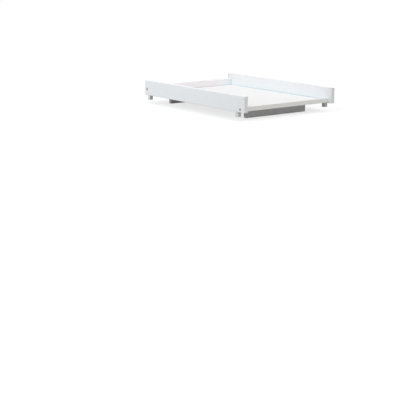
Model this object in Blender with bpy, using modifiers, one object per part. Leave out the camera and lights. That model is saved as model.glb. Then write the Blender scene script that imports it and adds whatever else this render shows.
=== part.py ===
"""A cot top changer: a shallow tray that sits across the two long rails of a cot.

Run with: blender --background --python part.py

All lengths are in metres. Z points up, X runs across the tray and Y runs from its open front to its
back board. The origin is at the middle of the box around the changer, on the surface that it stands on.
Inside build_changer every piece hangs from an empty, seat_plane, whose Y is counted from the front ends
of the side boards and whose Z is counted from their undersides, where the changer rests on the cot.
"""

import math

import bmesh
import bpy
from mathutils import Matrix, Vector

# The cot that carries the changer
COT_WIDTH = 0.638
COT_RAIL_DEPTH = 0.026
FRONT_OVERHANG = 0.064
REAR_OVERHANG = 0.044
STOP_CLEARANCE = 0.003
CLEAT_CLEARANCE = 0.004

# Side boards
TRAY_WIDTH = 0.518
BOARD_LENGTH = FRONT_OVERHANG + COT_WIDTH + REAR_OVERHANG
BOARD_HEIGHT = 0.070
BOARD_THICKNESS = 0.018
BOARD_EDGE_RADIUS = 0.0014

# Cross pieces: the front rail and the back board
CROSS_LIFT = 0.0030
CROSS_EDGE_RADIUS = 0.0010
FRONT_RAIL_SETBACK = 0.0205
FRONT_RAIL_DEPTH = 0.018
FRONT_RAIL_HEIGHT = 0.019
BACK_BOARD_SETBACK = 0.0075
BACK_BOARD_THICKNESS = 0.022
BACK_BOARD_HEIGHT = 0.0425

# Panel and the grooves that hold it
PANEL_THICKNESS = 0.006
PANEL_TOP = 0.014
GROOVE_DEPTH = 0.005
GROOVE_END_PLAY = 0.0006

# Cleats under the panel, just inside the cot's rails
CLEAT_LENGTH = 0.342
CLEAT_THICKNESS = 0.018
CLEAT_DROP = 0.040
CLEAT_EDGE_RADIUS = 0.0010

# Stop blocks under the side boards, just outside the cot's rails
STOP_DEPTH = 0.018
STOP_HEIGHT = 0.021
STOP_EDGE_RADIUS = 0.0015

# Hex-socket screws through the side boards into the cross pieces
FRAME_SCREW_LENGTH = 0.050
FRAME_SHANK_RADIUS = 0.0025
FRAME_HEAD_RADIUS = 0.0058
FRAME_HEAD_RIM = 0.0006
FRAME_SOCKET_RADIUS = 0.0023
FRAME_SOCKET_DEPTH = 0.0022

# Cross-recess screws through the panel into the cleats, and through the stop blocks into the boards
CLEAT_SCREW_LENGTH = 0.030
STOP_SCREW_LENGTH = 0.040
WOOD_SHANK_RADIUS = 0.0018
WOOD_HEAD_RADIUS = 0.0036
WOOD_HEAD_RIM = 0.0004
RECESS_WIDTH = 0.0009
RECESS_DEPTH = 0.0014

# Dowels between the side boards and the back board
DOWEL_RADIUS = 0.004
DOWEL_LENGTH = 0.030
DOWEL_DEPTH_IN_SIDE = 0.0115
DOWEL_CHAMFER = 0.0008
DOWEL_END_PLAY = 0.0006

# Fits, and the overrun that serves every cut
FIT_GAP = 0.0003
HEAD_RECESS = 0.0003
OVERRUN = 0.002
MERGE_DISTANCE = 0.00001

# Places as shares of the piece that carries them
BACK_SCREW_HEIGHT_SHARE = 0.60
BACK_DOWEL_HEIGHT_SHARE = 0.84
CLEAT_SCREW_SHARES = {"left": -0.82, "middle": 0.0, "right": 0.82}
SCREW_TIP_SHARE = 0.12
RECESS_SPAN_SHARE = 0.62

# Roundness, as counts
SCREW_STEPS = 20
DOWEL_STEPS = 20
EDGE_SEGMENTS = 2
SHARP_ANGLE = math.radians(30)

# Places that follow from the sizes above, counted from the seat plane's origin
HALF_WIDTH = TRAY_WIDTH / 2
INNER_HALF_WIDTH = HALF_WIDTH - BOARD_THICKNESS
SIDE_CENTRE_X = HALF_WIDTH - BOARD_THICKNESS / 2
CROSS_LENGTH = 2 * (INNER_HALF_WIDTH - FIT_GAP)
FRONT_RAIL_BACK = FRONT_RAIL_SETBACK + FRONT_RAIL_DEPTH
FRONT_RAIL_MIDDLE_Y = FRONT_RAIL_SETBACK + FRONT_RAIL_DEPTH / 2
BACK_BOARD_FRONT = BOARD_LENGTH - BACK_BOARD_SETBACK - BACK_BOARD_THICKNESS
BACK_BOARD_MIDDLE_Y = BACK_BOARD_FRONT + BACK_BOARD_THICKNESS / 2
GROOVE_FRONT = FRONT_RAIL_BACK - GROOVE_DEPTH
GROOVE_BACK = BACK_BOARD_FRONT + GROOVE_DEPTH
GROOVE_HALF_WIDTH = INNER_HALF_WIDTH + GROOVE_DEPTH
PANEL_MIDDLE_Z = PANEL_TOP - PANEL_THICKNESS / 2
PANEL_BOTTOM = PANEL_TOP - PANEL_THICKNESS
COT_FRONT_FACE = FRONT_OVERHANG
COT_REAR_FACE = FRONT_OVERHANG + COT_WIDTH
FRONT_CLEAT_Y = COT_FRONT_FACE + COT_RAIL_DEPTH + CLEAT_CLEARANCE + CLEAT_THICKNESS / 2
REAR_CLEAT_Y = COT_REAR_FACE - COT_RAIL_DEPTH - CLEAT_CLEARANCE - CLEAT_THICKNESS / 2
FRONT_STOP_Y = COT_FRONT_FACE - STOP_CLEARANCE - STOP_DEPTH / 2
REAR_STOP_Y = COT_REAR_FACE + STOP_CLEARANCE + STOP_DEPTH / 2
BACK_SCREW_Z = CROSS_LIFT + BACK_SCREW_HEIGHT_SHARE * BACK_BOARD_HEIGHT
BACK_DOWEL_Z = CROSS_LIFT + BACK_DOWEL_HEIGHT_SHARE * BACK_BOARD_HEIGHT
FRONT_SCREW_Z = CROSS_LIFT + FRONT_RAIL_HEIGHT / 2

SIDES = {"left": -1, "right": 1}
HEAD_DOWN = (math.pi, 0, 0)
HEAD_UP = (0, 0, 0)


def clear_scene():
    """Removes what the startup file holds."""
    for obj in list(bpy.data.objects):
        bpy.data.objects.remove(obj, do_unlink=True)


def make_collection(name):
    """A new collection in the scene."""
    collection = bpy.data.collections.new(name)
    bpy.context.scene.collection.children.link(collection)
    return collection


def make_material(name, colour, roughness, metallic=0.0):
    """A plain Principled material."""
    material = bpy.data.materials.new(name)
    material.use_nodes = True
    shader = material.node_tree.nodes["Principled BSDF"]
    shader.inputs["Base Color"].default_value = (*colour, 1.0)
    shader.inputs["Roughness"].default_value = roughness
    shader.inputs["Metallic"].default_value = metallic
    return material


def box_mesh(name, size):
    """A box of the given size, centred on its own origin."""
    mesh = bpy.data.meshes.new(name)
    bm = bmesh.new()
    bmesh.ops.create_cube(bm, size=1.0, matrix=Matrix.Diagonal(Vector(size)).to_4x4())
    bm.to_mesh(mesh)
    bm.free()
    return mesh


def prism_mesh(name, radius, length, sides):
    """A prism or cylinder along Z, centred on its own origin."""
    mesh = bpy.data.meshes.new(name)
    bm = bmesh.new()
    bmesh.ops.create_cone(
        bm, cap_ends=True, segments=sides, radius1=radius, radius2=radius, depth=length
    )
    bm.to_mesh(mesh)
    bm.free()
    return mesh


def profile_mesh(name, profile):
    """An open line of (radius, z) points, which a Screw modifier turns into a solid."""
    mesh = bpy.data.meshes.new(name)
    points = [(radius, 0.0, z) for radius, z in profile]
    edges = [(i, i + 1) for i in range(len(points) - 1)]
    mesh.from_pydata(points, edges, [])
    return mesh


class Workshop:
    """Makes objects in the changer's collection or the cutters', hung from one empty."""

    def __init__(self, parts, cutters, seat_plane):
        self.parts = parts
        self.cutters = cutters
        self.seat_plane = seat_plane

    def place(self, name, mesh, collection, location, rotation):
        """An object of this mesh, hung from the seat plane."""
        obj = bpy.data.objects.new(name, mesh)
        collection.objects.link(obj)
        obj.parent = self.seat_plane
        obj.location = location
        obj.rotation_euler = rotation
        return obj

    def part(self, name, mesh, material, location=(0, 0, 0), rotation=(0, 0, 0)):
        """A piece of the changer. Pieces that repeat share one mesh."""
        if not mesh.materials:
            mesh.materials.append(material)
        return self.place(name, mesh, self.parts, location, rotation)

    def cutter(self, name, mesh, location=(0, 0, 0), rotation=(0, 0, 0)):
        """A helper that only cuts."""
        obj = self.place(name, mesh, self.cutters, location, rotation)
        obj.hide_render = True
        obj.display_type = "WIRE"
        return obj


def turn(obj, steps):
    """Spins the object's profile once round its Z axis."""
    spin = obj.modifiers.new("turn", "SCREW")
    spin.steps = steps
    spin.render_steps = steps
    spin.use_merge_vertices = True
    spin.merge_threshold = MERGE_DISTANCE
    return obj


def cut(obj, cutter):
    """Takes the cutter's shape out of the object."""
    boolean = obj.modifiers.new("cut_" + cutter.name, "BOOLEAN")
    boolean.operation = "DIFFERENCE"
    boolean.object = cutter


def ease_edges(obj, radius, square_faces=()):
    """Rounds a box's edges, but not those of the faces that butt against another piece.

    square_faces holds (axis, sign) pairs, such as (2, 1) for the top.
    """
    mesh = obj.data
    corners = [vertex.co for vertex in mesh.vertices]
    weights = mesh.attributes.new("bevel_weight_edge", "FLOAT", "EDGE")
    for edge in mesh.edges:
        ends = [corners[i] for i in edge.vertices]
        square = any(all(end[axis] * sign > 0 for end in ends) for axis, sign in square_faces)
        weights.data[edge.index].value = 0.0 if square else 1.0
    bevel = obj.modifiers.new("eased_edges", "BEVEL")
    bevel.width = radius
    bevel.segments = EDGE_SEGMENTS
    bevel.limit_method = "WEIGHT"


def finished_mesh(obj, name):
    """The object's mesh with its modifiers done, shaded smooth between its sharp edges."""
    bpy.context.view_layer.update()
    evaluated = obj.evaluated_get(bpy.context.evaluated_depsgraph_get())
    mesh = bpy.data.meshes.new_from_object(evaluated)
    mesh.name = name
    mesh.shade_smooth()
    mesh.set_sharp_from_angle(angle=SHARP_ANGLE)
    return mesh


def screw_profile(length, shank_radius, head_radius, head_rim, gap=0.0, overrun=0.0):
    """A countersunk screw along -Z with the middle of its head's top at the origin.

    With a gap and an overrun it is the hole for that screw instead.
    """
    head_depth = head_rim + head_radius - shank_radius
    tip_length = SCREW_TIP_SHARE * length
    return [
        (0.0, overrun),
        (head_radius + gap, overrun),
        (head_radius + gap, -head_rim),
        (shank_radius + gap, -head_depth),
        (shank_radius + gap, tip_length - length),
        (shank_radius / 2 + gap, -length - gap),
        (0.0, -length - gap),
    ]


def frame_screw_mesh(shop):
    """A hex-socket countersunk screw."""
    profile = screw_profile(
        FRAME_SCREW_LENGTH, FRAME_SHANK_RADIUS, FRAME_HEAD_RADIUS, FRAME_HEAD_RIM
    )
    blank = turn(shop.cutter("frame_screw_blank", profile_mesh("blank", profile)), SCREW_STEPS)
    socket_mesh = prism_mesh("socket", FRAME_SOCKET_RADIUS, 2 * FRAME_SOCKET_DEPTH, 6)
    socket = shop.cutter("frame_screw_socket", socket_mesh)
    cut(blank, socket)
    mesh = finished_mesh(blank, "frame_screw")
    bpy.data.objects.remove(blank)
    bpy.data.objects.remove(socket)
    return mesh


def wood_screw_mesh(shop, name, length):
    """A cross-recess countersunk wood screw."""
    profile = screw_profile(length, WOOD_SHANK_RADIUS, WOOD_HEAD_RADIUS, WOOD_HEAD_RIM)
    blank = turn(shop.cutter(name + "_blank", profile_mesh("blank", profile)), SCREW_STEPS)
    span = 2 * RECESS_SPAN_SHARE * WOOD_HEAD_RADIUS
    slots = []
    for size in ((span, RECESS_WIDTH), (RECESS_WIDTH, span)):
        slot_mesh = box_mesh("slot", (*size, 2 * RECESS_DEPTH))
        slots.append(shop.cutter(name + "_slot", slot_mesh))
        cut(blank, slots[-1])
    mesh = finished_mesh(blank, name)
    for helper in (blank, *slots):
        bpy.data.objects.remove(helper)
    return mesh


def dowel_mesh(shop):
    """A plain dowel along Z with chamfered ends, centred on its own origin."""
    half = DOWEL_LENGTH / 2
    shoulder = half - DOWEL_CHAMFER
    end_radius = DOWEL_RADIUS - DOWEL_CHAMFER
    profile = [
        (0.0, half),
        (end_radius, half),
        (DOWEL_RADIUS, shoulder),
        (DOWEL_RADIUS, -shoulder),
        (end_radius, -half),
        (0.0, -half),
    ]
    blank = turn(shop.cutter("dowel_blank", profile_mesh("blank", profile)), DOWEL_STEPS)
    mesh = finished_mesh(blank, "dowel")
    bpy.data.objects.remove(blank)
    return mesh


def make_side_boards(shop, material):
    """The two tall boards, each with a stopped groove for the panel on its inner face."""
    boards = {}
    groove_size = (
        2 * GROOVE_DEPTH,
        GROOVE_BACK - GROOVE_FRONT,
        PANEL_THICKNESS + 2 * FIT_GAP,
    )
    for side, sign in SIDES.items():
        board = shop.part(
            f"{side}_side_board",
            box_mesh("side_board", (BOARD_THICKNESS, BOARD_LENGTH, BOARD_HEIGHT)),
            material,
            (sign * SIDE_CENTRE_X, BOARD_LENGTH / 2, BOARD_HEIGHT / 2),
        )
        ease_edges(board, BOARD_EDGE_RADIUS)
        groove_y = (GROOVE_FRONT + GROOVE_BACK) / 2
        groove = shop.cutter(
            f"{side}_groove",
            box_mesh("groove", groove_size),
            (sign * INNER_HALF_WIDTH, groove_y, PANEL_MIDDLE_Z),
        )
        cut(board, groove)
        boards[side] = board
    return boards


def make_cross_piece(shop, name, material, size, middle_y, groove_y):
    """A piece between the side boards, with a groove for the panel along the face at groove_y."""
    _, depth, height = size
    piece = shop.part(
        name, box_mesh(name, size), material, (0, middle_y, CROSS_LIFT + height / 2)
    )
    ease_edges(piece, CROSS_EDGE_RADIUS, square_faces=((0, 1), (0, -1)))
    groove_size = (
        CROSS_LENGTH + 2 * OVERRUN,
        2 * GROOVE_DEPTH,
        PANEL_THICKNESS + 2 * FIT_GAP,
    )
    groove = shop.cutter(
        f"{name}_groove", box_mesh("groove", groove_size), (0, groove_y, PANEL_MIDDLE_Z)
    )
    cut(piece, groove)
    return piece


def make_panel(shop, material):
    """The flat base, whose four edges lie in the grooves."""
    half_width = GROOVE_HALF_WIDTH - GROOVE_END_PLAY
    front = GROOVE_FRONT + GROOVE_END_PLAY
    back = GROOVE_BACK - GROOVE_END_PLAY
    return shop.part(
        "changing_panel",
        box_mesh("changing_panel", (2 * half_width, back - front, PANEL_THICKNESS)),
        material,
        (0, (front + back) / 2, PANEL_MIDDLE_Z),
    )


def make_cleat(shop, name, material, middle_y):
    """A batten on edge under the panel, square where it meets it."""
    top = PANEL_BOTTOM - FIT_GAP
    height = top + CLEAT_DROP
    cleat = shop.part(
        name,
        box_mesh(name, (CLEAT_LENGTH, CLEAT_THICKNESS, height)),
        material,
        (0, middle_y, top - height / 2),
    )
    ease_edges(cleat, CLEAT_EDGE_RADIUS, square_faces=((2, 1),))
    return cleat


def make_stop(shop, name, material, x, y):
    """A block under a side board, as wide as the board is thick."""
    stop = shop.part(
        name,
        box_mesh(name, (BOARD_THICKNESS, STOP_DEPTH, STOP_HEIGHT - FIT_GAP)),
        material,
        (x, y, -(STOP_HEIGHT + FIT_GAP) / 2),
    )
    ease_edges(stop, STOP_EDGE_RADIUS, square_faces=((2, 1),))
    return stop


def make_screw_hole(shop, name, sizes, location, rotation, carriers):
    """Cuts one screw's hole, with its countersink, through the pieces that it joins."""
    profile = screw_profile(*sizes, gap=FIT_GAP, overrun=OVERRUN)
    hole = shop.cutter(f"{name}_hole", profile_mesh("hole", profile), location, rotation)
    turn(hole, SCREW_STEPS)
    for carrier in carriers:
        cut(carrier, hole)


def fasten_frame(shop, material, boards, rail, back_board):
    """A screw through each side board into each end of both cross pieces."""
    sizes = (FRAME_SCREW_LENGTH, FRAME_SHANK_RADIUS, FRAME_HEAD_RADIUS, FRAME_HEAD_RIM)
    mesh = frame_screw_mesh(shop)
    ends = {
        "front": (rail, FRONT_RAIL_MIDDLE_Y, FRONT_SCREW_Z),
        "back": (back_board, BACK_BOARD_MIDDLE_Y, BACK_SCREW_Z),
    }
    for side, sign in SIDES.items():
        rotation = (0, sign * math.pi / 2, 0)
        for end, (piece, y, z) in ends.items():
            name = f"frame_screw_{end}_{side}"
            location = (sign * (HALF_WIDTH - HEAD_RECESS), y, z)
            shop.part(name, mesh, material, location, rotation)
            make_screw_hole(shop, name, sizes, location, rotation, (boards[side], piece))


def dowel_back_board(shop, material, boards, back_board):
    """A dowel in each end of the back board, which keeps it from turning on its screws."""
    mesh = dowel_mesh(shop)
    hole_length = DOWEL_LENGTH + 2 * DOWEL_END_PLAY
    for side, sign in SIDES.items():
        outer_end = INNER_HALF_WIDTH + DOWEL_DEPTH_IN_SIDE
        location = (sign * (outer_end - DOWEL_LENGTH / 2), BACK_BOARD_MIDDLE_Y, BACK_DOWEL_Z)
        rotation = (0, math.pi / 2, 0)
        shop.part(f"back_dowel_{side}", mesh, material, location, rotation)
        hole_mesh = prism_mesh("dowel_hole", DOWEL_RADIUS + FIT_GAP, hole_length, DOWEL_STEPS)
        hole = shop.cutter(f"back_dowel_{side}_hole", hole_mesh, location, rotation)
        cut(boards[side], hole)
        cut(back_board, hole)


def fasten_cleats(shop, material, panel, cleats):
    """Screws down through the panel into each cleat, their heads painted over with the panel."""
    sizes = (CLEAT_SCREW_LENGTH, WOOD_SHANK_RADIUS, WOOD_HEAD_RADIUS, WOOD_HEAD_RIM)
    mesh = wood_screw_mesh(shop, "cleat_screw", CLEAT_SCREW_LENGTH)
    for end, (cleat, y) in cleats.items():
        for place, share in CLEAT_SCREW_SHARES.items():
            name = f"cleat_screw_{end}_{place}"
            location = (share * CLEAT_LENGTH / 2, y, PANEL_TOP - HEAD_RECESS)
            shop.part(name, mesh, material, location, HEAD_UP)
            make_screw_hole(shop, name, sizes, location, HEAD_UP, (panel, cleat))


def add_stops(shop, wood, metal, boards):
    """Four stop blocks, each held by a screw up into its side board."""
    sizes = (STOP_SCREW_LENGTH, WOOD_SHANK_RADIUS, WOOD_HEAD_RADIUS, WOOD_HEAD_RIM)
    mesh = wood_screw_mesh(shop, "stop_screw", STOP_SCREW_LENGTH)
    for side, sign in SIDES.items():
        for end, y in (("front", FRONT_STOP_Y), ("rear", REAR_STOP_Y)):
            x = sign * SIDE_CENTRE_X
            stop = make_stop(shop, f"stop_{end}_{side}", wood, x, y)
            name = f"stop_screw_{end}_{side}"
            location = (x, y, HEAD_RECESS - STOP_HEIGHT)
            shop.part(name, mesh, metal, location, HEAD_DOWN)
            make_screw_hole(shop, name, sizes, location, HEAD_DOWN, (stop, boards[side]))


def build_changer():
    """Makes every piece of the changer."""
    clear_scene()
    parts = make_collection("cot_top_changer")
    cutters = make_collection("cutters")
    seat_plane = bpy.data.objects.new("seat_plane", None)
    parts.objects.link(seat_plane)
    seat_plane.location = (0, -BOARD_LENGTH / 2, CLEAT_DROP)
    shop = Workshop(parts, cutters, seat_plane)

    side_paint = make_material("side_board_white", (0.86, 0.87, 0.88), 0.45)
    cross_paint = make_material("cross_piece_white", (0.84, 0.84, 0.83), 0.45)
    panel_paint = make_material("panel_white", (0.90, 0.90, 0.90), 0.40)
    cleat_paint = make_material("cleat_white", (0.82, 0.82, 0.80), 0.55)
    beech = make_material("beech", (0.62, 0.44, 0.26), 0.60)
    zinc = make_material("zinc_plated_steel", (0.42, 0.43, 0.45), 0.35, metallic=1.0)
    painted_steel = make_material("painted_steel_white", (0.88, 0.88, 0.88), 0.45)

    boards = make_side_boards(shop, side_paint)
    rail_size = (CROSS_LENGTH, FRONT_RAIL_DEPTH, FRONT_RAIL_HEIGHT)
    rail = make_cross_piece(
        shop, "front_rail", cross_paint, rail_size, FRONT_RAIL_MIDDLE_Y, FRONT_RAIL_BACK
    )
    back_size = (CROSS_LENGTH, BACK_BOARD_THICKNESS, BACK_BOARD_HEIGHT)
    back_board = make_cross_piece(
        shop, "back_board", cross_paint, back_size, BACK_BOARD_MIDDLE_Y, BACK_BOARD_FRONT
    )
    panel = make_panel(shop, panel_paint)
    cleats = {}
    for end, y in (("front", FRONT_CLEAT_Y), ("rear", REAR_CLEAT_Y)):
        cleats[end] = (make_cleat(shop, f"{end}_cleat", cleat_paint, y), y)

    fasten_frame(shop, zinc, boards, rail, back_board)
    dowel_back_board(shop, beech, boards, back_board)
    fasten_cleats(shop, painted_steel, panel, cleats)
    add_stops(shop, cleat_paint, zinc, boards)


build_changer()
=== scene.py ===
"""Looks of the cot top changer: finer wooden pieces, screws, paint, light and camera.

Lengths are in metres, in the part's own frame. Each wooden piece is rebuilt inside its solid's box,
with rounder edges. Its holes and grooves repeat those of the solids, and the grooves have chamfered
mouths here.
"""

import math
from collections import namedtuple

import bmesh
import bpy
from mathutils import Matrix, Vector


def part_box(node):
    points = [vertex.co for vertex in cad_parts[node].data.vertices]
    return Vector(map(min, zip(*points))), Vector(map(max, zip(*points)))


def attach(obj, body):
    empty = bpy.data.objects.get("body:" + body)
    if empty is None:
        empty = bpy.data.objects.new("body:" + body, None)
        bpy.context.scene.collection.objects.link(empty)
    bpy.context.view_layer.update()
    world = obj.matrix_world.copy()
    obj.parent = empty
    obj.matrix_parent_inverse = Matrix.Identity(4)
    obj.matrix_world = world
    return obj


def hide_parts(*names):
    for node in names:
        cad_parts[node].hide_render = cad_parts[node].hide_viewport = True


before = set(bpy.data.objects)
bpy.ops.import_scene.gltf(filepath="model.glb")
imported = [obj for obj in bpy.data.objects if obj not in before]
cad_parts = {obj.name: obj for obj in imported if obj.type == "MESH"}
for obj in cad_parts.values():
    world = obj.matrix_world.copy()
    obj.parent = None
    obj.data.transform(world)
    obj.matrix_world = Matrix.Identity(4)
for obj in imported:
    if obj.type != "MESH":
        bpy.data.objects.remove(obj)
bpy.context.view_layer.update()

# The part's axes as indices of a point: from side to side, from front to rear, and up
ACROSS, ALONG, UP = 0, 1, 2

# The sides and which way they lie, the ends where cleats stand, and which way screw heads face
SIDES = {"left": -1, "right": 1}
ENDS = ("front", "rear")
UPWARD = (0, 0, 1)
DOWNWARD = (0, 0, -1)

# The panel's box, which the grooves and the shades along the boards follow
PANEL_LOW, PANEL_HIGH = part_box("changing_panel")

# Camera, solved from the photograph in the changer's own frame
CAMERA_PLACE = (-2.9523, -3.6658, 0.6761)
CAMERA_YAW = math.radians(36.787)
CAMERA_PITCH = math.radians(13.344)
CAMERA_ROLL = math.radians(0.069)
CAMERA_LENS_MM = 92.2
CAMERA_SENSOR_MM = 36.0
CAMERA_FAR = 200.0

# Sizes shared with the solids
GROOVE_DEPTH = 0.005
FIT_GAP = 0.0003
DOWEL_END_PLAY = 0.0006
SOCKET_RADIUS = 0.0023
SOCKET_DEPTH = 0.0022
SCREW_TIP_SHARE = 0.12

# Screws: the shank's radius, the height of the head's rim and the chamfer round it
ScrewKind = namedtuple("ScrewKind", "shank_radius rim chamfer")
FRAME_SCREW = ScrewKind(0.0025, 0.0006, 0.0003)
WOOD_SCREW = ScrewKind(0.0018, 0.0004, 0.0002)

# Roundness of the edges, with the ends of a board apart
SIDE_BOARD_ROUND = 0.0020
SIDE_BOARD_END_ROUND = 0.0010
FRONT_RAIL_ROUND = 0.0009
BACK_BOARD_ROUND = 0.0020
CROSS_PIECE_END_ROUND = 0.0004
PANEL_ROUND = 0.0006
CLEAT_ROUND = 0.0010
STOP_ROUND = 0.0015
GROOVE_CHAMFER = 0.0004

# The hexagon socket's chamfered mouth and its pointed floor, as a share of its depth
SOCKET_SIDES = 6
SOCKET_MOUTH_RADIUS = 0.0024
SOCKET_POINT_SHARE = 1.25

# The cross recess: a middle and two tapered slots, sized by the head's radius and by their mouths
RECESS_SPAN_SHARE = 1.24
RECESS_SLOT_WIDTH = 0.00095
RECESS_FLOOR_SPAN_SHARE = 0.45
RECESS_FLOOR_WIDTH_SHARE = 0.6
RECESS_SLOT_LIFT = 0.0002
RECESS_MIDDLE_RADIUS = 0.0011
RECESS_MIDDLE_DEPTH_SHARE = 0.8
STOP_SCREW_RECESS_DEPTH = 0.0014
CLEAT_SCREW_RECESS_DEPTH = 0.0006

# Fineness of the meshes, how straight an end's face looks along its board, and a cutter's overrun
EDGE_SEGMENTS = 6
ROUND_PROFILE = 0.5
SCREW_STEPS = 56
DOWEL_STEPS = 24
RECESS_STEPS = 20
SMOOTH_ANGLE = math.radians(32)
END_NORMAL = 0.99
OVERRUN = 0.002

# Lamps: the side lamp in watts, the suns in watts per square metre
SIDE_LAMP_PLACE = (-1.66, 0.40, 1.04)
SIDE_LAMP_SIZE = 1.4
SIDE_LAMP_POWER = 10.8
SIDE_LAMP_COLOUR = (0.96, 1.0, 1.04)
LEFT_LAMP_TOWARDS = (-0.80, -0.10, 0.60)
LEFT_LAMP_STRENGTH = 0.54
LEFT_LAMP_COLOUR = (0.91, 1.0, 1.08)
TOP_LAMP_TOWARDS = (0.0, -0.50, 0.866)
TOP_LAMP_STRENGTH = 1.19
TOP_LAMP_COLOUR = (1.01, 1.0, 0.99)
SUN_ANGLE = math.radians(40)
SUN_DISTANCE = 4.0

# World and floor: what lights the changer, and what the camera sees
WHITE = (1.0, 1.0, 1.0)
WORLD_COLOUR = (1.0, 0.99, 0.985)
WORLD_STRENGTH = 0.48
FLOOR_REACH = 45.0
FLOOR_ROUGHNESS = 0.9
FLOOR_BOUNCE = (0.43, 0.43, 0.43)
FLOOR_SEEN = (0.30, 0.30, 0.30)
FLOOR_GLOW = 0.74

# Paints, in tones of one white; the rail's and back board's tones are set apart as painted light
WHITE_SIDE = (0.865, 0.873, 0.878)
WHITE_RAIL = (0.866, 0.862, 0.829)
WHITE_BACK = (0.901, 0.889, 0.898)
WHITE_PANEL = (0.902, 0.883, 0.881)
# The cleats and stop blocks are painted darker than the boards: painted shade under the changer
CLEAT_WHITE_WITH_PAINTED_SHADE = (0.790, 0.790, 0.782)
STOP_WHITE_WITH_PAINTED_SHADE = (0.752, 0.760, 0.768)

# Roughness of the paint on the boards, on the panel, on its screws and under the changer
BOARD_ROUGHNESS = 0.40
PANEL_ROUGHNESS = 0.36
CLEAT_SCREW_ROUGHNESS = 0.38
UNDERSIDE_ROUGHNESS = 0.48

# Bare materials
ZINC = (0.37, 0.385, 0.405)
ZINC_ROUGHNESS = 0.38
ZINC_PATCH_SHARE = 0.72
BEECH = (0.60, 0.42, 0.25)
BEECH_ROUGHNESS = (0.5, 0.7)
BEECH_FLECK_SHARE = 0.7

# Noises: patches in a metre, layers of finer patches, and how strong the finer ones are
CLOUD = (7.0, 3.0, 0.55)
MOTTLE = (46.0, 3.0, 0.6)
PEEL = (520.0, 2.0, 0.5)
PATCH = (900.0, 3.0, 0.6)
GRIT = (6000.0, 2.0, 0.5)

# Noises in the wood, and how many times finer they are across the grain and along it
GRAIN = (1.6, 5.0, 0.62)
FLECK = (1.0, 4.0, 0.6)
GRAIN_FINENESS = (150.0, 4.5)
FLECK_FINENESS = (900.0, 90.0)

# Stretches of a noise over which a look changes, and the middle that a noise swings round
MIDDLE_STRETCH = (0.3, 0.7)
MOTTLE_STRETCH = (0.35, 0.75)
PORE_STRETCH = (0.52, 0.72)
PATCH_STRETCH = (0.35, 0.7)
FLECK_STRETCH = (0.4, 0.7)
NOISE_MIDDLE = 0.5

# Tones in the paint, as shares of its colour, and how strongly each shows
CLOUD_TONE_SHARE = 0.975
MOTTLE_TONE_SHARE = 0.965
MOTTLE_STRENGTH = 0.5
PORE_COLOUR = (0.70, 0.67, 0.62)
PORE_STRENGTH = 0.10
SAWN_END_TINT = (0.86, 0.87, 0.81)
SAWN_END_STRENGTH = 0.5
WORN_TINT = (0.95, 0.94, 0.92)
WORN_STRENGTH = 0.22

# How deep those tones reach from an edge or a sawn end, and how far their limits waver
WORN_REACH = (0.0001, 0.0012)
WORN_WAVER = 0.0016
SAWN_END_REACH = (0.0002, 0.0006)
SHADE_WAVER = 0.0004

# Gloss of the paint, and how much rougher or smoother the mottle and the wear make a surface
PAINT_ROUGHNESS_SWING = (-0.04, 0.06)
ZINC_ROUGHNESS_SWING = (-0.08, 0.12)
WORN_ROUGHNESS = 0.14
PAINT_SPECULAR = 0.42
PAINT_COAT = 0.12
PAINT_COAT_ROUGHNESS = 0.30

# Reliefs: strength and depth, and the shares of the rolled texture and of the pores in the paint's
PAINT_RELIEF = (0.35, 0.00012)
ZINC_RELIEF = (0.4, 0.00002)
BEECH_RELIEF = (0.4, 0.0001)
PEEL_HEIGHT = 0.35
PORE_HEIGHT = -0.75

# Painted shade and painted cool shade near joints and corners: reach and softness along a line, the
# same upwards, strength and tint
RAIL_JOINT_PAINTED_SHADE = ((0.0020, 0.0009), (0.0020, 0.0009), 0.50, (0.50, 0.50, 0.50))
SIDE_JOINT_PAINTED_SHADE = ((0.0040, 0.1000), (0.0060, 0.0045), 0.27, (0.32, 0.52, 0.62))
SIDE_PAINTED_COOL_SHADE = ((0.0300, 0.0200), (0.0280, 0.0240), 1.00, (0.94, 1.00, 1.01))
BACK_JOINT_PAINTED_SHADE = ((0.0095, 0.0080), (0.0095, 0.0080), 0.26, (0.50, 0.50, 0.50))
CORNER_PAINTED_COOL_SHADE = ((0.0700, 0.0600), (0.0030, 0.0010), 1.00, (0.87, 0.955, 0.985))
CORNER_PAINTED_SHADE = ((0.0700, 0.0600), (0.0095, 0.0080), 0.18, (0.50, 0.50, 0.50))

# Painted shade on level faces, the rail's top and the panel's corner, whose upward pair is not used
RAIL_TOP_PAINTED_SHADE = ((0.0040, 0.0010), None, 1.00, (0.93, 0.93, 0.93))
PANEL_CORNER_PAINTED_SHADOW = ((0.4000, 0.2500), None, 1.00, (0.948, 0.942, 0.948))

# How deep a shade reaches into its face, and how softly it ends there
SHADE_DEPTH = (0.0040, 0.0010)
RAIL_TOP_DEPTH = (0.0010, 0.0008)


def link(obj):
    """Puts an object in the scene."""
    bpy.context.scene.collection.objects.link(obj)
    return obj


def rotation(angle, axis):
    """A turn about an axis, as a matrix of four rows."""
    return Matrix.Rotation(angle, 4, axis)


def box_bmesh(low, high):
    """A box between two corners."""
    low, high = Vector(low), Vector(high)
    bm = bmesh.new()
    place = Matrix.Translation((low + high) / 2) @ Matrix.Diagonal(high - low).to_4x4()
    bmesh.ops.create_cube(bm, size=1.0, matrix=place)
    return bm


def as_object(name, bm):
    """An object holding this mesh."""
    mesh = bpy.data.meshes.new(name)
    bm.to_mesh(mesh)
    bm.free()
    return link(bpy.data.objects.new(name, mesh))


def round_edges(bm, edges, radius):
    """Rounds these edges of a mesh."""
    bmesh.ops.bevel(
        bm,
        geom=edges,
        offset=radius,
        offset_type="OFFSET",
        segments=EDGE_SEGMENTS,
        profile=ROUND_PROFILE,
        affect="EDGES",
    )


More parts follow.
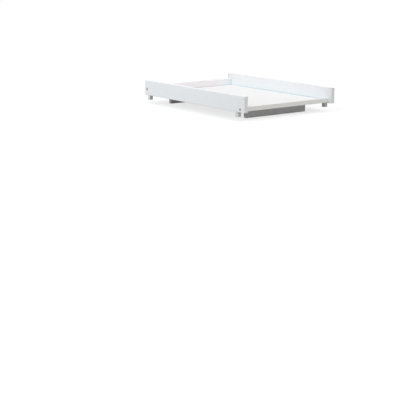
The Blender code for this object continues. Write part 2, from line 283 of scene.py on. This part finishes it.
def rounded_box(node, radius, square_top=False):
    """A node's box with rounded edges, apart from those of a top that butts against a neighbour."""
    low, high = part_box(node)
    bm = box_bmesh(low, high)
    middle = (low[UP] + high[UP]) / 2
    rounded = []
    for edge in bm.edges:
        at_top = all(vertex.co.z > middle for vertex in edge.verts)
        if not (square_top and at_top):
            rounded.append(edge)
    round_edges(bm, rounded, radius)
    return as_object(node, bm)


def rounded_board(node, axis, radius, end_radius):
    """A node's board along an axis, its long edges rounder than the outlines of its two ends."""
    low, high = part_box(node)
    bm = box_bmesh(low, high)
    half_length = (high[axis] - low[axis]) / 2
    long_edges = []
    for edge in bm.edges:
        first, second = edge.verts
        if abs(first.co[axis] - second.co[axis]) > half_length:
            long_edges.append(edge)
    round_edges(bm, long_edges, radius)
    bm.normal_update()
    ends = [face for face in bm.faces if abs(face.normal[axis]) > END_NORMAL]
    outlines = dict.fromkeys(edge for face in ends for edge in face.edges)
    round_edges(bm, list(outlines), end_radius)
    return as_object(node, bm)


def turned(name, profile, steps, place):
    """A solid turned round Z from (radius, z) points, top first, then moved to its place."""
    bm = bmesh.new()
    rings = []
    for radius, z in profile:
        ring = []
        for i in range(steps if radius > 0 else 1):
            angle = 2 * math.pi * i / steps
            ring.append(bm.verts.new((radius * math.cos(angle), radius * math.sin(angle), z)))
        rings.append(ring)
    for ring in (rings[0], rings[-1]):
        if len(ring) > 1:
            bm.faces.new(ring)
    for upper, lower in zip(rings, rings[1:]):
        for i in range(steps):
            j = (i + 1) % steps
            corners = [upper[i % len(upper)], lower[i % len(lower)]]
            corners += [lower[j % len(lower)], upper[j % len(upper)]]
            bm.faces.new(list(dict.fromkeys(corners)))
    bmesh.ops.recalc_face_normals(bm, faces=bm.faces)
    bmesh.ops.transform(bm, matrix=place, verts=bm.verts)
    return as_object(name, bm)


def tapered_box(name, top, bottom, depth, place):
    """A wedge about Z: top and bottom are (x, y) sizes, and its top stands at z = 0."""
    bm = bmesh.new()
    bmesh.ops.create_cube(bm, size=1.0)
    for vertex in bm.verts:
        x, y = top if vertex.co.z > 0 else bottom
        z = 0 if vertex.co.z > 0 else -depth
        vertex.co = (vertex.co.x * x, vertex.co.y * y, z)
    bmesh.ops.transform(bm, matrix=place, verts=bm.verts)
    return as_object(name, bm)


def cut(obj, cutters):
    """Takes the cutters out of the object and deletes them."""
    for cutter in cutters:
        boolean = obj.modifiers.new("cut", "BOOLEAN")
        boolean.operation = "DIFFERENCE"
        boolean.solver = "EXACT"
        boolean.object = cutter
    bpy.context.view_layer.update()
    evaluated = obj.evaluated_get(bpy.context.evaluated_depsgraph_get())
    mesh = bpy.data.meshes.new_from_object(evaluated)
    obj.modifiers.clear()
    obj.data = mesh
    for cutter in cutters:
        bpy.data.objects.remove(cutter)


def finish_piece(obj, node, material):
    """Shades a piece, hides the solid that it stands for and gives it its material."""
    obj.name = node + "_piece"
    mesh = obj.data
    mesh.shade_smooth()
    mesh.set_sharp_from_angle(angle=SMOOTH_ANGLE)
    mesh.materials.clear()
    mesh.materials.append(material)
    normals = obj.modifiers.new("even_normals", "WEIGHTED_NORMAL")
    normals.keep_sharp = True
    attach(obj, "root")
    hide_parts(node)


class Nodes:
    """Short calls for building the nodes of a material or of the world."""

    # Where a Mix node has its two colours and their blend
    MIX_COLOURS = slice(6, 8)
    MIX_RESULT = 2

    def __init__(self, holder, shader):
        holder.use_nodes = True
        self.holder = holder
        self.tree = holder.node_tree
        self.shader = self.tree.nodes[shader]

    def put(self, socket, value):
        """Sets a socket to a number or colour, or joins an output to it."""
        if isinstance(value, bpy.types.NodeSocket):
            self.tree.links.new(value, socket)
        else:
            socket.default_value = value

    def fill(self, inputs):
        """Fills the shader's inputs by name."""
        for name, value in inputs.items():
            self.put(self.shader.inputs[name], value)

    def node(self, kind, **inputs):
        """Makes a node and fills its inputs by name."""
        made = self.tree.nodes.new(kind)
        for name, value in inputs.items():
            self.put(made.inputs[name], value)
        return made

    def maths(self, operation, a, b):
        """The result of a sum, difference, product, least or most of two numbers."""
        made = self.node("ShaderNodeMath")
        made.operation = operation
        for socket, value in zip(made.inputs, (a, b)):
            self.put(socket, value)
        return made.outputs[0]

    def mix(self, factor, a, b):
        """A blend of two colours."""
        made = self.node("ShaderNodeMix", Factor=factor)
        made.data_type = "RGBA"
        first, second = list(made.inputs)[self.MIX_COLOURS]
        self.put(first, a)
        self.put(second, b)
        return made.outputs[self.MIX_RESULT]

    def mix_shaders(self, factor, a, b):
        """A blend of two shaders."""
        made = self.node("ShaderNodeMixShader")
        for socket, value in zip(made.inputs, (factor, a, b)):
            self.put(socket, value)
        return made.outputs[0]

    def noise(self, vector, pattern):
        """Grey noise from 0 to 1."""
        scale, detail, rough = pattern
        made = self.node(
            "ShaderNodeTexNoise", Vector=vector, Scale=scale, Detail=detail, Roughness=rough
        )
        return made.outputs["Fac"]

    def ramp(self, value, stretch, results=(0.0, 1.0)):
        """A stretch of the value turned into a stretch of results, held beyond its ends."""
        made = self.node("ShaderNodeMapRange")
        made.clamp = True
        for socket, number in zip(made.inputs, (value, *stretch, *results)):
            self.put(socket, number)
        return made.outputs[0]

    def relief(self, height, strength, depth):
        """The normal of a surface with this relief."""
        made = self.node("ShaderNodeBump", Strength=strength, Distance=depth, Height=height)
        return made.outputs[0]

    def drawn_out(self, vector, axis, fineness):
        """Coordinates for a pattern that is finer across an axis than along it."""
        across, along = fineness
        scale = [across, across, across]
        scale[axis] = along
        return self.node("ShaderNodeMapping", Vector=vector, Scale=scale).outputs[0]


def new_material(name):
    """The nodes of a new material."""
    return Nodes(bpy.data.materials.new(name), "Principled BSDF")


def colour(rgb, share=1.0):
    """A colour for a socket, darkened or lightened by a share."""
    return tuple(channel * share for channel in rgb) + (1.0,)


def tinted(rgb, tint):
    """A colour for a socket, with each of its channels multiplied by the tint's."""
    return colour([rgb[i] * tint[i] for i in range(3)])


def swung(middle, swing):
    """The stretch from a middle less a little to the middle and a little more."""
    return middle + swing[0], middle + swing[1]


def inside(n, value, low, high):
    """How far a value lies inside the range from low to high."""
    return n.maths("MINIMUM", n.maths("SUBTRACT", value, low), n.maths("SUBTRACT", high, value))


def edge_closeness(n, depths):
    """The distance in metres from a point on a box's surface to its nearest edge."""
    a, b, c = depths
    least = n.maths("MINIMUM", a, b)
    most = n.maths("MAXIMUM", a, b)
    return n.maths("MAXIMUM", least, n.maths("MINIMUM", most, c))


def face_shade(face_axis, start, stop, shade, depth=SHADE_DEPTH):
    """A painted shade round the line from start to stop: a box with softness, strength and tint."""
    along, up, strength, tint = shade
    margins = [along, along, up]
    margins[face_axis] = depth
    low = [start[i] - margins[i][0] for i in range(3)]
    high = [stop[i] + margins[i][0] for i in range(3)]
    return low, high, [margin[1] for margin in margins], strength, tint


def panel_painted_shadows():
    """The left board's shadow painted in the panel's front left corner, which the painted screws
    share.
    """
    corner = (PANEL_LOW[ACROSS], PANEL_LOW[ALONG], PANEL_HIGH[UP])
    return [face_shade(UP, corner, corner, PANEL_CORNER_PAINTED_SHADOW)]


def paint(node, rgb, grain_axis=None, roughness=BOARD_ROUGHNESS, shades=()):
    """Satin white paint: rolled texture, faint grain beneath, thin dull edges, and painted shade.
    """
    n = new_material(node + "_paint")
    low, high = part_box(node)
    where = n.node("ShaderNodeTexCoord").outputs["Object"]
    place = n.node("ShaderNodeSeparateXYZ", Vector=where).outputs
    depths = [inside(n, place[axis], low[axis], high[axis]) for axis in range(3)]
    mottle = n.noise(where, MOTTLE)
    swing = n.maths("SUBTRACT", mottle, NOISE_MIDDLE)

    cloud = n.ramp(n.noise(where, CLOUD), MIDDLE_STRETCH)
    base = n.mix(cloud, colour(rgb, CLOUD_TONE_SHARE), colour(rgb))
    mottled = n.ramp(mottle, MOTTLE_STRETCH, (0.0, MOTTLE_STRENGTH))
    base = n.mix(mottled, base, colour(rgb, MOTTLE_TONE_SHARE))
    height = n.maths("MULTIPLY", n.noise(where, PEEL), PEEL_HEIGHT)

    if grain_axis is not None:
        lines = n.noise(n.drawn_out(where, grain_axis, GRAIN_FINENESS), GRAIN)
        pores = n.ramp(lines, PORE_STRETCH)
        base = n.mix(n.maths("MULTIPLY", pores, PORE_STRENGTH), base, colour(PORE_COLOUR))
        height = n.maths("ADD", height, n.maths("MULTIPLY", pores, PORE_HEIGHT))
        sawn_end = n.ramp(depths[grain_axis], SAWN_END_REACH, (SAWN_END_STRENGTH, 0.0))
        base = n.mix(sawn_end, base, tinted(rgb, SAWN_END_TINT))

    waver = n.maths("MULTIPLY", swing, SHADE_WAVER)
    # Painted shade: each shade darkens or cools the colour inside its soft box
    for shade_low, shade_high, softness, strength, tint in shades:
        factor = strength
        for axis in range(3):
            depth = inside(n, place[axis], shade_low[axis], shade_high[axis])
            soft = n.ramp(n.maths("ADD", waver, depth), (0.0, softness[axis]))
            factor = n.maths("MULTIPLY", factor, soft)
        base = n.mix(factor, base, tinted(rgb, tint))

    ragged = n.maths("ADD", edge_closeness(n, depths), n.maths("MULTIPLY", swing, WORN_WAVER))
    worn = n.ramp(ragged, WORN_REACH, (1.0, 0.0))
    base = n.mix(n.maths("MULTIPLY", worn, WORN_STRENGTH), base, tinted(rgb, WORN_TINT))
    varied = n.ramp(mottle, MIDDLE_STRETCH, swung(roughness, PAINT_ROUGHNESS_SWING))
    dull = n.maths("MULTIPLY", worn, WORN_ROUGHNESS)
    n.fill({
        "Base Color": base,
        "Roughness": n.maths("ADD", varied, dull),
        "Normal": n.relief(height, *PAINT_RELIEF),
        "Specular IOR Level": PAINT_SPECULAR,
        "Coat Weight": PAINT_COAT,
        "Coat Roughness": PAINT_COAT_ROUGHNESS,
    })
    return n.holder


def zinc_plate(name):
    """Dull plated steel with fine grit and darker patches."""
    n = new_material(name)
    where = n.node("ShaderNodeTexCoord").outputs["Object"]
    patch = n.noise(where, PATCH)
    darker = n.ramp(patch, PATCH_STRETCH)
    n.fill({
        "Base Color": n.mix(darker, colour(ZINC), colour(ZINC, ZINC_PATCH_SHARE)),
        "Roughness": n.ramp(patch, MIDDLE_STRETCH, swung(ZINC_ROUGHNESS, ZINC_ROUGHNESS_SWING)),
        "Metallic": 1.0,
        "Normal": n.relief(n.noise(where, GRIT), *ZINC_RELIEF),
    })
    return n.holder


def bare_beech(name, grain_axis):
    """Unpainted beech: short flecks along the grain."""
    n = new_material(name)
    where = n.node("ShaderNodeTexCoord").outputs["Object"]
    flecks = n.noise(n.drawn_out(where, grain_axis, FLECK_FINENESS), FLECK)
    darker = n.ramp(flecks, FLECK_STRETCH)
    n.fill({
        "Base Color": n.mix(darker, colour(BEECH), colour(BEECH, BEECH_FLECK_SHARE)),
        "Roughness": n.ramp(flecks, MIDDLE_STRETCH, BEECH_ROUGHNESS),
        "Normal": n.relief(flecks, *BEECH_RELIEF),
    })
    return n.holder


def screw_place(node, outward):
    """Where a screw's head lies, with +Z turned outward, then its head's radius and its length."""
    low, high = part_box(node)
    low, high = Vector(low), Vector(high)
    outward = Vector(outward)
    axis = max(range(3), key=lambda i: abs(outward[i]))
    head = (low + high) / 2
    head[axis] = high[axis] if outward[axis] > 0 else low[axis]
    sideways = (axis + 1) % 3
    radius = (high[sideways] - low[sideways]) / 2
    length = high[axis] - low[axis]
    turn = outward.to_track_quat("Z", "Y").to_matrix().to_4x4()
    return Matrix.Translation(head) @ turn, radius, length


def screw_hole(node, outward, kind):
    """A cutter for the countersunk hole round a screw."""
    place, radius, length = screw_place(node, outward)
    wide = radius + FIT_GAP
    narrow = kind.shank_radius + FIT_GAP
    profile = [
        (wide, FIT_GAP + OVERRUN),
        (wide, -kind.rim),
        (narrow, -kind.rim - radius + kind.shank_radius),
        (narrow, -length - FIT_GAP),
    ]
    return turned("hole", profile, SCREW_STEPS, place)


def dowel_hole(node):
    """A cutter for the holes that a dowel lies in, with some play at its ends."""
    low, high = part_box(node)
    middle = (Vector(low) + Vector(high)) / 2
    radius = (high[UP] - low[UP]) / 2 + FIT_GAP
    half_length = (high[ACROSS] - low[ACROSS]) / 2 + DOWEL_END_PLAY
    place = Matrix.Translation(middle) @ rotation(math.pi / 2, "Y")
    return turned("hole", [(radius, half_length), (radius, -half_length)], DOWEL_STEPS, place)


def groove_cutter(face, into, ends, axis):
    """A cutter for the panel's groove along an axis, chamfered at its mouth.

    The groove opens in the face at that place, and the wood lies on its into side, -1 or 1.
    """
    low = PANEL_LOW[UP] - FIT_GAP
    high = PANEL_HIGH[UP] + FIT_GAP
    outline = [
        (into * GROOVE_DEPTH, low),
        (into * GROOVE_CHAMFER, low),
        (0, low - GROOVE_CHAMFER),
        (-into * OVERRUN, low - GROOVE_CHAMFER),
        (-into * OVERRUN, high + GROOVE_CHAMFER),
        (0, high + GROOVE_CHAMFER),
        (into * GROOVE_CHAMFER, high),
        (into * GROOVE_DEPTH, high),
    ]
    bm = bmesh.new()
    rings = []
    for end in ends:
        ring = []
        for depth, z in outline:
            point = (face + depth, end, z) if axis == ALONG else (end, face + depth, z)
            ring.append(bm.verts.new(point))
        rings.append(ring)
    near, far = rings
    bm.faces.new(near)
    bm.faces.new(far)
    for i in range(len(outline)):
        bm.faces.new((near[i - 1], near[i], far[i], far[i - 1]))
    bmesh.ops.recalc_face_normals(bm, faces=bm.faces)
    return as_object("groove", bm)


def screw_body(node, kind, place, radius, length):
    """A countersunk screw's solid, before its drive recess is cut."""
    head_depth = kind.rim + radius - kind.shank_radius
    tip = SCREW_TIP_SHARE * length
    profile = [
        (radius - kind.chamfer, 0),
        (radius - kind.chamfer / 3, -kind.chamfer / 3),
        (radius, -kind.chamfer),
        (radius, -kind.rim),
        (kind.shank_radius, -head_depth),
        (kind.shank_radius, tip - length),
        (kind.shank_radius / 2, -length),
    ]
    return turned(node, profile, SCREW_STEPS, place)


def make_frame_screw(node, outward, material):
    """A hex-socket screw with a chamfered mouth to its socket."""
    place, radius, length = screw_place(node, outward)
    screw = screw_body(node, FRAME_SCREW, place, radius, length)
    socket = [
        (SOCKET_RADIUS, OVERRUN),
        (SOCKET_RADIUS, -SOCKET_DEPTH),
        (0, -SOCKET_DEPTH * SOCKET_POINT_SHARE),
    ]
    mouth = [(SOCKET_MOUTH_RADIUS + OVERRUN, OVERRUN), (0, -SOCKET_MOUTH_RADIUS)]
    hexagon = turned("hexagon", socket, SOCKET_SIDES, place)
    cone = turned("mouth", mouth, SCREW_STEPS, place)
    cut(screw, [hexagon, cone])
    finish_piece(screw, node, material)


def make_wood_screw(node, outward, material, recess_depth):
    """A cross-recess screw."""
    place, radius, length = screw_place(node, outward)
    screw = screw_body(node, WOOD_SCREW, place, radius, length)
    span = RECESS_SPAN_SHARE * radius
    mouth = (span, RECESS_SLOT_WIDTH)
    floor = (span * RECESS_FLOOR_SPAN_SHARE, RECESS_SLOT_WIDTH * RECESS_FLOOR_WIDTH_SHARE)
    turn = place @ rotation(math.pi / 4, "Z")
    lift = Matrix.Translation((0, 0, RECESS_SLOT_LIFT))
    cutters = []
    for angle in (0, math.pi / 2):
        spin = turn @ rotation(angle, "Z") @ lift
        cutters.append(tapered_box("recess", mouth, floor, recess_depth, spin))
    middle = [
        (RECESS_MIDDLE_RADIUS, OVERRUN),
        (RECESS_MIDDLE_RADIUS, 0),
        (0, -RECESS_MIDDLE_DEPTH_SHARE * recess_depth),
    ]
    cutters.append(turned("recess_middle", middle, RECESS_STEPS, turn))
    cut(screw, cutters)
    finish_piece(screw, node, material)


def cleat_screws(end):
    """The names of the three screws that hold the cleat at this end."""
    return [f"cleat_screw_{end}_{place}" for place in ("left", "middle", "right")]


def make_side_board(side):
    """A tall board on edge, with the panel's groove, the holes of its screws and its dowel's."""
    node = f"{side}_side_board"
    sign = SIDES[side]
    low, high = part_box(node)
    board = rounded_board(node, ALONG, SIDE_BOARD_ROUND, SIDE_BOARD_END_ROUND)
    inner = low[ACROSS] if sign > 0 else high[ACROSS]
    rail_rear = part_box("front_rail")[1][ALONG]
    back_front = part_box("back_board")[0][ALONG]
    ends = (rail_rear - GROOVE_DEPTH, back_front + GROOVE_DEPTH)
    cutters = [groove_cutter(inner, sign, ends, ALONG)]
    for end in ("front", "back"):
        cutters.append(screw_hole(f"frame_screw_{end}_{side}", (sign, 0, 0), FRAME_SCREW))
    for end in ENDS:
        cutters.append(screw_hole(f"stop_screw_{end}_{side}", DOWNWARD, WOOD_SCREW))
    cutters.append(dowel_hole(f"back_dowel_{side}"))
    cut(board, cutters)
    start = (inner, rail_rear, PANEL_HIGH[UP])
    stop = (inner, back_front, PANEL_HIGH[UP])
    # Painted shade and a painted cool cast on the inner face along the panel's joint
    shades = [face_shade(ACROSS, start, stop, shade) for shade in (SIDE_PAINTED_COOL_SHADE, SIDE_JOINT_PAINTED_SHADE)]
    material = paint(node, WHITE_SIDE, grain_axis=ALONG, shades=shades)
    finish_piece(board, node, material)


def cross_piece(node, radius, face, into, screws, dowelled=False):
    """The front rail or the back board: a board across, with its groove and its holes."""
    low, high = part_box(node)
    piece = rounded_board(node, ACROSS, radius, CROSS_PIECE_END_ROUND)
    ends = (low[ACROSS] - OVERRUN, high[ACROSS] + OVERRUN)
    cutters = [groove_cutter(face, into, ends, ACROSS)]
    for side, sign in SIDES.items():
        cutters.append(screw_hole(f"{screws}_{side}", (sign, 0, 0), FRAME_SCREW))
        if dowelled:
            cutters.append(dowel_hole(f"back_dowel_{side}"))
    cut(piece, cutters)
    return piece


def make_front_rail():
    """The low rail in front, with painted shade along its joint with the panel and on its top."""
    node = "front_rail"
    low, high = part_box(node)
    face = high[ALONG]
    rail = cross_piece(node, FRONT_RAIL_ROUND, face, -1, "frame_screw_front")
    start = (low[ACROSS], face, PANEL_HIGH[UP])
    stop = (high[ACROSS], face, PANEL_HIGH[UP])
    top_corner = (low[ACROSS], low[ALONG], high[UP])
    shades = [
        # Painted shade along the panel's joint and on the rail's top
        face_shade(ALONG, start, stop, RAIL_JOINT_PAINTED_SHADE),
        face_shade(UP, top_corner, high, RAIL_TOP_PAINTED_SHADE, depth=RAIL_TOP_DEPTH),
    ]
    material = paint(node, WHITE_RAIL, grain_axis=ACROSS, shades=shades)
    finish_piece(rail, node, material)


def make_back_board():
    """The back board, with painted shade along its joint with the panel and painted cool shade in
    its corners.
    """
    node = "back_board"
    low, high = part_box(node)
    face = low[ALONG]
    board = cross_piece(node, BACK_BOARD_ROUND, face, 1, "frame_screw_back", dowelled=True)
    corners = [(x, face, PANEL_HIGH[UP]) for x in (low[ACROSS], high[ACROSS])]
    # Painted shade along the joint, and painted cool shade and contact shadow in each corner
    shades = [face_shade(ALONG, *corners, BACK_JOINT_PAINTED_SHADE)]
    for corner in corners:
        foot = (corner[ACROSS], face, low[UP])
        head = (corner[ACROSS], face, high[UP])
        shades.append(face_shade(ALONG, foot, head, CORNER_PAINTED_COOL_SHADE))
        shades.append(face_shade(ALONG, corner, corner, CORNER_PAINTED_SHADE))
    material = paint(node, WHITE_BACK, grain_axis=ACROSS, shades=shades)
    finish_piece(board, node, material)


def make_panel():
    """The flat base, with the holes of the six screws that hold the cleats."""
    node = "changing_panel"
    panel = rounded_box(node, PANEL_ROUND)
    screws = [screw for end in ENDS for screw in cleat_screws(end)]
    cut(panel, [screw_hole(screw, UPWARD, WOOD_SCREW) for screw in screws])
    material = paint(node, WHITE_PANEL, roughness=PANEL_ROUGHNESS, shades=panel_painted_shadows())
    finish_piece(panel, node, material)


def make_cleat(end):
    """A cleat under the panel, with the holes of its three screws."""
    node = f"{end}_cleat"
    cleat = rounded_box(node, CLEAT_ROUND, square_top=True)
    cut(cleat, [screw_hole(screw, UPWARD, WOOD_SCREW) for screw in cleat_screws(end)])
    material = paint(node, CLEAT_WHITE_WITH_PAINTED_SHADE, grain_axis=ACROSS, roughness=UNDERSIDE_ROUGHNESS)
    finish_piece(cleat, node, material)


def make_stop(end, side):
    """A stop block under a side board, with its screw's hole."""
    node = f"stop_{end}_{side}"
    stop = rounded_box(node, STOP_ROUND, square_top=True)
    cut(stop, [screw_hole(f"stop_screw_{end}_{side}", DOWNWARD, WOOD_SCREW)])
    material = paint(node, STOP_WHITE_WITH_PAINTED_SHADE, grain_axis=UP, roughness=UNDERSIDE_ROUGHNESS)
    finish_piece(stop, node, material)


def make_wood():
    """The boards, rail, panel, cleats and stop blocks."""
    for side in SIDES:
        make_side_board(side)
    make_front_rail()
    make_back_board()
    make_panel()
    for end in ENDS:
        make_cleat(end)
        for side in SIDES:
            make_stop(end, side)


def make_fasteners():
    """Screws, and the dowels' bare wood."""
    zinc = zinc_plate("zinc_plate")
    for side, sign in SIDES.items():
        for end in ("front", "back"):
            make_frame_screw(f"frame_screw_{end}_{side}", (sign, 0, 0), zinc)
        for end in ENDS:
            node = f"stop_screw_{end}_{side}"
            make_wood_screw(node, DOWNWARD, zinc, STOP_SCREW_RECESS_DEPTH)
    for end in ENDS:
        for node in cleat_screws(end):
            # The screws' white carries the panel's painted shadow
            shades = panel_painted_shadows()
            white = paint(node, WHITE_PANEL, roughness=CLEAT_SCREW_ROUGHNESS, shades=shades)
            make_wood_screw(node, UPWARD, white, CLEAT_SCREW_RECESS_DEPTH)
    for side in SIDES:
        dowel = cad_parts[f"back_dowel_{side}"]
        beech = bare_beech(f"back_dowel_{side}_beech", ACROSS)
        for slot in dowel.material_slots:
            slot.material = beech


def camera_sees(n):
    """1 for the rays that see the background: the camera's, and those of gloss and glass."""
    path = n.node("ShaderNodeLightPath")
    seen = n.maths("MAXIMUM", path.outputs["Is Camera Ray"], path.outputs["Is Glossy Ray"])
    return n.maths("MAXIMUM", seen, path.outputs["Is Transmission Ray"])


def make_floor():
    """A pale floor that is white to the camera, keeps the shadow and is clear from below."""
    bm = bmesh.new()
    bmesh.ops.create_grid(bm, x_segments=1, y_segments=1, size=FLOOR_REACH)
    floor = as_object("floor", bm)
    n = new_material("floor_white")
    seen = camera_sees(n)
    n.fill({
        "Base Color": n.mix(seen, colour(FLOOR_BOUNCE), colour(FLOOR_SEEN)),
        "Roughness": FLOOR_ROUGHNESS,
        "Specular IOR Level": 0.0,
        "Emission Color": colour(WHITE),
        "Emission Strength": n.maths("MULTIPLY", seen, FLOOR_GLOW),
    })
    below = n.node("ShaderNodeNewGeometry").outputs["Backfacing"]
    clear = n.node("ShaderNodeBsdfTransparent")
    surface = n.mix_shaders(below, n.shader.outputs[0], clear.outputs[0])
    n.put(n.tree.nodes["Material Output"].inputs["Surface"], surface)
    floor.data.materials.append(n.holder)


def make_lamp(name, kind, place, rgb, strength):
    """A lamp of this kind that points from its place at the changer. Gives back its settings."""
    data = bpy.data.lights.new(name, kind)
    data.color = rgb
    data.energy = strength
    lamp = link(bpy.data.objects.new(name, data))
    lamp.location = place
    lamp.rotation_euler = Vector(place).to_track_quat("Z", "Y").to_euler()
    return data


def make_sun(name, towards, rgb, strength):
    """A soft lamp of even strength from the direction named."""
    place = Vector(towards).normalized() * SUN_DISTANCE
    sun = make_lamp(name, "SUN", place, rgb, strength)
    sun.angle = SUN_ANGLE


def make_lamps():
    """Two cool soft lamps from the left, and a neutral one from above the front."""
    side = make_lamp("side_lamp", "AREA", SIDE_LAMP_PLACE, SIDE_LAMP_COLOUR, SIDE_LAMP_POWER)
    side.shape = "SQUARE"
    side.size = SIDE_LAMP_SIZE
    make_sun("left_lamp", LEFT_LAMP_TOWARDS, LEFT_LAMP_COLOUR, LEFT_LAMP_STRENGTH)
    make_sun("top_lamp", TOP_LAMP_TOWARDS, TOP_LAMP_COLOUR, TOP_LAMP_STRENGTH)


def make_world():
    """A pale world that lights the changer softly and is white to the camera."""
    world = bpy.data.worlds.new("pale_world")
    bpy.context.scene.world = world
    n = Nodes(world, "Background")
    n.fill({"Color": colour(WORLD_COLOUR), "Strength": WORLD_STRENGTH})
    white = n.node("ShaderNodeBackground", Color=colour(WHITE), Strength=1.0)
    surface = n.mix_shaders(camera_sees(n), n.shader.outputs[0], white.outputs[0])
    n.put(n.tree.nodes["World Output"].inputs["Surface"], surface)


def make_camera():
    """The photograph's viewpoint and lens."""
    data = bpy.data.cameras.new("camera")
    data.sensor_width = CAMERA_SENSOR_MM
    data.lens = CAMERA_LENS_MM
    data.clip_end = CAMERA_FAR
    camera = link(bpy.data.objects.new("camera", data))
    turn = rotation(-CAMERA_YAW, "Z")
    turn = turn @ rotation(math.pi / 2 - CAMERA_PITCH, "X")
    turn = turn @ rotation(CAMERA_ROLL, "Z")
    camera.matrix_world = Matrix.Translation(CAMERA_PLACE) @ turn
    bpy.context.scene.camera = camera


make_wood()
make_fasteners()
make_floor()
make_lamps()
make_world()
make_camera()
bpy.context.scene.view_settings.view_transform = "Standard"

bpy.context.view_layer.update()
